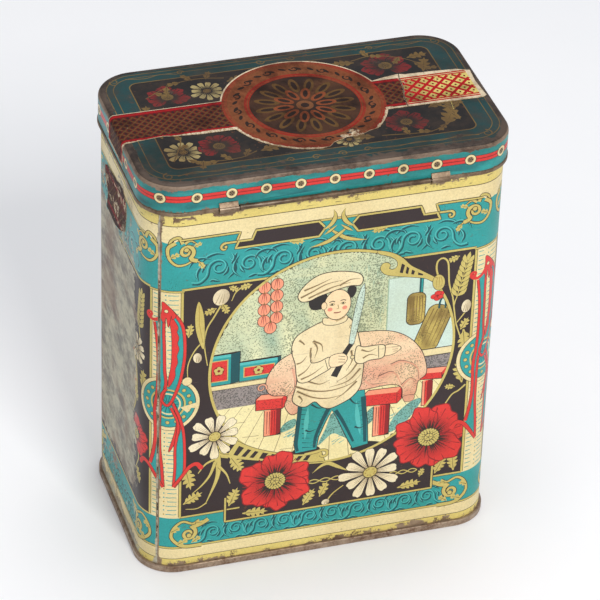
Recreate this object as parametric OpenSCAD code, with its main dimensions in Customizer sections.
// Spice tin: a straight-sided sheet-metal box with rounded corners, a double-seamed base,
// a cap lid on a wire hinge along one long side, and the torn paper seal that closed it.
// Millimetres. +Z is up and the floor is Z = 0. The hinge is on the -Y side.
// Every wall is one flat profile carried round a rounded rectangle, so its corners are
// true arcs: in a profile, x is the distance out from the body wall's outer face, y is Z.

/* [Tin] */
// Width of the body across its walls
body_w = 112; // [80:0.5:160]
// Depth of the body across its walls
body_d = 64.5; // [45:0.5:100]
// Height from the floor to the top of the lid
total_h = 141.7; // [90:0.1:200]
// Radius of the body's upright corners, outside
corner_r = 11.4; // [6:0.1:20]
// Thickness of the sheet metal
sheet_t = 0.3; // [0.2:0.02:0.4]
// Gap between the body's mouth and the underside of the lid
mouth_gap = 0.3; // [0.2:0.05:1]
// Height of the hem folded inwards at the mouth
mouth_hem_h = 3; // [1.5:0.1:6]

/* [Side seam] */
// Angle of the upright seam round the front left corner, from the hinge side
seam_angle = 39; // [15:1:75]
// Width of the folded strip inside the seam
seam_w = 4; // [2:0.1:6]
// Thickness of the folded strip inside the seam
seam_fold_t = 0.6; // [0.4:0.05:0.9]
// Width of the seam's fine groove on the outside
seam_groove_w = 0.35; // [0.2:0.05:0.8]
// Depth of the seam's groove on the outside
seam_groove_depth = 0.12; // [0.06:0.02:0.15]

/* [Base] */
// Height of the double seam round the base
rim_h = 2.24; // [1.6:0.02:4]
// How far the base seam stands out from the wall
rim_out = 0.9; // [0.7:0.05:1.6]
// Height of the base panel's underside
panel_z = 1.9; // [1.2:0.05:3]
// Gap between the folded layers of the base seam
fold_gap = 0.05; // [0.03:0.01:0.1]

/* [Lid] */
// Gap between the body wall and the inside of the lid's skirt
lid_clear = 0.6; // [0.45:0.05:1.2]
// Height of the lid from the hem's lower edge to its top
lid_h = 10.4; // [8:0.1:20]
// Radius of the lid's rounded top edge, outside
lid_fillet = 1.4; // [0.8:0.1:2.4]
// Height of the hem folded outwards along the skirt
hem_h = 1.3; // [0.8:0.1:2]

/* [Hinge] */
// Distance of the hinge wire's centre from the body wall
pin_out = 1.5; // [1.4:0.05:2.5]
// Height of the hinge wire's centre above the hem's lower edge
pin_up = 0.9; // [0.6:0.05:1.2]
// Radius of the hinge wire
wire_r = 0.45; // [0.35:0.05:0.6]
// Running clearance round the hinge wire
wire_clear = 0.05; // [0.03:0.01:0.1]
// Length of the body's hinge barrel
barrel_len = 58; // [30:1:80]
// Gap between the barrel and the lid's ear at each end
ear_gap = 0.5; // [0.3:0.05:1]
// Length of each of the lid's ears
ear_len = 5.7; // [3:0.1:10]
// Height of each ear above the hinge wire's centre
ear_up = 2.1; // [1.6:0.1:3]
// Height of the hinge leaf above the hinge wire's centre
leaf_up = 7; // [4:0.1:8]
// Gap between the barrel and the lid's edge above it
edge_clear = 0.12; // [0.1:0.01:0.5]

/* [Paper seal] */
// Thickness of the paper
paper_t = 0.14; // [0.08:0.01:0.3]
// Layer of glue under the paper
glue_t = 0.02; // [0.01:0.01:0.05]
// Radius of the round medallion
medal_r = 25.1; // [15:0.1:30]
// Place of the medallion's centre across the lid's width
medal_x = 0.9; // [-20:0.1:20]
// Place of the medallion's centre across the lid's depth
medal_y = 1.4; // [-6:0.1:6]
// Width of the band either side of the medallion
band_w = 16.6; // [8:0.1:24]
// Place of the band's centre across the lid's depth
band_y = 0.9; // [-6:0.1:6]
// Length of the torn stub to the right of the medallion
stub_len = 7.6; // [3:0.1:14]
// How far the band comes down over the lid's left skirt
flap_drop = 7.6; // [3:0.1:9]
// Gap between the stub and the torn piece beside it
tear_gap = 0.25; // [0.1:0.05:1]
// Distance from the top of the lid down to the middle of the scrap on the side wall
scrap_down = 27; // [22:0.5:60]
// Place of the scrap's middle across the body's depth
scrap_y = 4.4; // [-6:0.1:6]

/* [Hidden] */
$fn = 96;
eps = 0.01;
metal = [0.62, 0.60, 0.56];
teal = [0.20, 0.52, 0.50];
cream = [0.93, 0.87, 0.68];
dark = [0.22, 0.20, 0.20];
red = [0.62, 0.14, 0.12];
rust = [0.45, 0.36, 0.30];
full_turn = 360;
right_angle = 90;
sides = 4;
// Heights
lid_under_z = total_h - sheet_t;
mouth_z = lid_under_z - mouth_gap;
hem_z = total_h - lid_h;
pin_z = hem_z + pin_up;
flange_z = sheet_t + fold_gap;
rim_soft = sheet_t - eps;
// Distances out from the wall's outer face
flange_out = rim_out - sheet_t - fold_gap;
chuck_out = -sheet_t - fold_gap;
skirt_out = lid_clear + sheet_t;
hem_out = skirt_out + sheet_t;
fillet_x = skirt_out - lid_fillet;
fillet_z = total_h - lid_fillet;
// Hinge
bore_r = wire_r + wire_clear;
barrel_r = bore_r + sheet_t;
ear_r = bore_r + 2 * sheet_t;
pin_y = -body_d / 2 - pin_out;
barrel_half = barrel_len / 2;
ear_in = barrel_half + ear_gap;
ear_end = ear_in + ear_len;
ear_turn = 60;
wire_len = 2 * ear_end - 2 * fold_gap;
leaf_down = barrel_r;
edge_side = pin_out - skirt_out;
edge_up = sqrt(pow(barrel_r + edge_clear, 2) - pow(edge_side, 2));
// Seam
seam_mid_r = corner_r - sheet_t - seam_fold_t / 2;
seam_fold_turn = full_turn * seam_w / (2 * PI * seam_mid_r);
seam_groove_turn = full_turn * seam_groove_w / (2 * PI * corner_r);
seam_start = -right_angle - seam_angle;
seam_low = rim_h + 2 * sheet_t;
seam_high = mouth_z - mouth_hem_h - sheet_t;
// Paper, drawn flat on the lid
paper_z = total_h + glue_t;
paper_top = paper_z + paper_t;
band_low = band_y - band_w / 2;
band_high = band_y + band_w / 2;
bend_x = body_w / 2 + fillet_x;
stub_end = medal_x + medal_r + stub_len;
wall_paper = glue_t + paper_t;
nick = 0.5;
// Torn edges, as points from a named corner
medal_tear = [[-2, -25], [0.8, -24.2], [2.2, -22.6], [5, -21.4], [7.2, -20.6], [10, -20.8],
              [12.2, -20.1], [14.5, -18.9], [16.4, -18.4], [18.2, -17.9], [26, -26], [-2, -32]];
band_tear = [[0, 0.4], [4, 1], [11, 1.8], [14.5, 1], [22, 0.3]];
stub_tear = [[-3.1, 0], [-2.6, 5], [-1.1, 10.5], [-0.5, 16.6], [0, 18.5]];
stub_top = [[-5, 17.7], [-9, 16.6]];
arm_end = [[-1.1, -0.3], [0, 0.5], [-0.5, 9], [0, 15.5], [-4, 17.1], [-12, 17.7], [-20, 17.9]];
scrap_edge = [[-12.5, 5.5], [-10, 7], [-4, 7.8], [2, 8.4], [5, 9.4], [9, 9.2], [12.5, 6.5],
              [12, 0], [10.8, -4], [5, -7.2], [-1, -8.8], [-7, -8.2], [-10.5, -8.4], [-9, -2],
              [-12, 0.5]];

// A list of points moved by x and y
function moved(points, x, y) = [for (p = points) [p[0] + x, p[1] + y]];

// A flat profile carried round the body's rounded rectangle
module swept_wall() {
  for (side = [0 : sides - 1]) {
    across = side % 2 == 0 ? body_w : body_d;
    along = (side % 2 == 0 ? body_d : body_w) - 2 * corner_r;
    rotate(right_angle * side) {
      translate([across / 2, 0, 0])
        rotate([right_angle, 0, 0])
          linear_extrude(height = along, center = true)
            children();
      translate([across / 2 - corner_r, along / 2, 0])
        rotate_extrude(angle = right_angle)
          translate([corner_r, 0])
            children();
    }
  }
}

// A flat plate with the body's corners, reaching out beyond its walls by grow
module corner_plate(grow, thick) {
  round_r = corner_r + grow;
  wide = body_w + 2 * grow;
  deep = body_d + 2 * grow;
  translate([-wide / 2, -deep / 2 + round_r, 0])
    cube([wide, deep - 2 * round_r, thick]);
  translate([-wide / 2 + round_r, -deep / 2, 0])
    cube([wide - 2 * round_r, deep, thick]);
  for (side_x = [-1, 1], side_y = [-1, 1])
    translate([side_x * (wide / 2 - round_r), side_y * (deep / 2 - round_r), 0])
      cylinder(h = thick, r = round_r);
}

// A rectangle with true round corners, from one corner to the other
module soft_rect(low, high, round_r) {
  translate([low[0] + round_r, low[1]])
    square([high[0] - low[0] - 2 * round_r, high[1] - low[1]]);
  translate([low[0], low[1] + round_r])
    square([high[0] - low[0], high[1] - low[1] - 2 * round_r]);
  for (x = [low[0] + round_r, high[0] - round_r], y = [low[1] + round_r, high[1] - round_r])
    translate([x, y])
      circle(r = round_r);
}

// An arc of a ring round the front left corner, for the side seam
module seam_arc(inner, outer, low, high, turn) {
  translate([-body_w / 2 + corner_r, -body_d / 2 + corner_r, 0])
    rotate(seam_start - turn / 2)
      rotate_extrude(angle = turn)
        translate([inner, low])
          square([outer - inner, high - low]);
}

// The body's wall: flange at the foot, inward hem at the mouth
module wall_profile() {
  translate([-sheet_t, flange_z])
    square([sheet_t, mouth_z - sheet_t - flange_z]);
  translate([-sheet_t, flange_z])
    square([sheet_t + flange_out, sheet_t]);
  translate([-2 * sheet_t, mouth_z - mouth_hem_h])
    square([sheet_t + eps, mouth_hem_h - sheet_t]);
  intersection() {
    translate([-sheet_t, mouth_z - sheet_t])
      circle(r = sheet_t);
    translate([-2 * sheet_t, mouth_z - sheet_t])
      square([2 * sheet_t, sheet_t]);
  }
}

module body_shell() {
  color(cream) {
    difference() {
      swept_wall() wall_profile();
      seam_arc(corner_r - seam_groove_depth, corner_r + sheet_t, seam_low, total_h,
               seam_groove_turn);
    }
    seam_arc(corner_r - sheet_t - seam_fold_t, corner_r - sheet_t + eps, seam_low, seam_high,
             seam_fold_turn);
  }
}

// The base seam: a channel folded round the wall's flange
module rim_profile() {
  difference() {
    soft_rect([chuck_out - sheet_t, 0], [rim_out, rim_h], rim_soft);
    translate([chuck_out, sheet_t])
      square([rim_out - chuck_out - sheet_t, rim_h - 2 * sheet_t]);
    translate([chuck_out, sheet_t])
      square([fold_gap - chuck_out, rim_h]);
    translate([chuck_out - 2 * sheet_t, panel_z + sheet_t])
      square([2 * sheet_t + eps, rim_h]);
  }
}

module base_plate() {
  color(rust) {
    swept_wall() rim_profile();
    translate([0, 0, panel_z])
      corner_plate(chuck_out - sheet_t / 2, sheet_t);
  }
}

// The lid's skirt with its outward hem and its rounded top edge
module lid_profile() {
  translate([lid_clear, hem_z + sheet_t])
    square([sheet_t, lid_h - sheet_t - lid_fillet]);
  translate([skirt_out - eps, hem_z + sheet_t])
    square([sheet_t + eps, hem_h - 2 * sheet_t]);
  for (z = [hem_z + sheet_t, hem_z + hem_h - sheet_t])
    intersection() {
      translate([skirt_out, z])
        circle(r = sheet_t);
      translate([lid_clear, hem_z])
        square([2 * sheet_t, hem_h]);
    }
  intersection() {
    difference() {
      translate([fillet_x, fillet_z])
        circle(r = lid_fillet);
      translate([fillet_x, fillet_z])
        circle(r = lid_fillet - sheet_t);
    }
    translate([fillet_x, fillet_z])
      square(lid_fillet);
  }
  translate([fillet_x - lid_fillet, lid_under_z])
    square([lid_fillet, sheet_t]);
}

// One of the lid's ears: the skirt's edge rolled outwards round the wire
module ear_profile() {
  difference() {
    union() {
      circle(r = ear_r);
      polygon([[lid_clear - pin_out, 0], [lid_clear - pin_out, ear_up],
               [hem_out - pin_out, ear_up], [ear_r * cos(ear_turn), ear_r * sin(ear_turn)], [0, 0]]);
    }
    circle(r = bore_r);
  }
}

// A profile drawn about the hinge's centre, carried along the hinge
module along_hinge(start, len) {
  translate([start + len, pin_y, pin_z])
    rotate([0, 0, -right_angle])
      rotate([right_angle, 0, 0])
        linear_extrude(height = len)
          children();
}

module lid_cap() {
  color(teal) {
    difference() {
      union() {
        swept_wall() lid_profile();
        translate([0, 0, lid_under_z])
          corner_plate(fillet_x - lid_fillet / 2, sheet_t);
      }
      translate([-ear_end, pin_y, hem_z - sheet_t])
        cube([2 * ear_end, pin_out - lid_clear / 2, pin_up + sheet_t + edge_up]);
    }
    along_hinge(-ear_end, ear_len) ear_profile();
    along_hinge(ear_in, ear_len) ear_profile();
  }
}

// The hinge leaf: a flat strip on the wall whose lower edge is rolled into a barrel
module leaf_profile() {
  translate([fold_gap - pin_out, -leaf_down])
    square([sheet_t - fold_gap, leaf_down + leaf_up]);
  difference() {
    union() {
      circle(r = barrel_r);
      translate([fold_gap - pin_out, -barrel_r])
        square([pin_out - fold_gap, sheet_t]);
    }
    circle(r = bore_r);
  }
}

module hinge_leaf() {
  color(metal)
    along_hinge(-barrel_half, barrel_len) leaf_profile();
}

module hinge_wire() {
  color(dark)
    translate([-wire_len / 2, pin_y, pin_z])
      rotate([0, right_angle, 0])
        cylinder(h = wire_len, r = wire_r);
}

// The band bent over the lid's left edge and down its skirt
module flap_profile() {
  intersection() {
    difference() {
      translate([fillet_x, fillet_z])
        circle(r = lid_fillet + wall_paper);
      translate([fillet_x, fillet_z])
        circle(r = lid_fillet + glue_t);
    }
    translate([fillet_x, fillet_z])
      square(lid_fillet + wall_paper);
  }
  translate([skirt_out + glue_t, total_h - flap_drop])
    square([paper_t, flap_drop - lid_fillet]);
}

module seal_medallion() {
  color(red) {
    translate([0, 0, paper_z])
      linear_extrude(height = paper_t) {
        difference() {
          translate([medal_x, medal_y])
            circle(r = medal_r);
          polygon(moved(medal_tear, medal_x, medal_y));
        }
        polygon(concat(moved(band_tear, -bend_x, band_low),
                       [[medal_x, band_low], [medal_x, band_high], [-bend_x, band_high]]));
        polygon(concat([[medal_x, band_low]], moved(stub_tear, stub_end, band_low),
                       moved(stub_top, stub_end, band_low), [[medal_x, band_high]]));
      }
    translate([-body_w / 2, band_high, 0])
      mirror([1, 0, 0])
        rotate([right_angle, 0, 0])
          linear_extrude(height = band_w - nick)
            flap_profile();
  }
}

module seal_right_arm() {
  tear = moved(stub_tear, stub_end + tear_gap, band_low);
  last = len(tear) - 1;
  color(red)
    translate([0, 0, paper_z])
      linear_extrude(height = paper_t)
        polygon(concat([for (k = [0 : last]) tear[last - k]], moved(arm_end, bend_x, band_low)));
}

module seal_side_scrap() {
  color(red)
    translate([-body_w / 2 - glue_t, scrap_y, total_h - scrap_down])
      rotate([right_angle, 0, -right_angle])
        linear_extrude(height = paper_t)
          polygon(scrap_edge);
}

body_shell();
base_plate();
hinge_leaf();
hinge_wire();
lid_cap();
seal_medallion();
seal_right_arm();
seal_side_scrap();
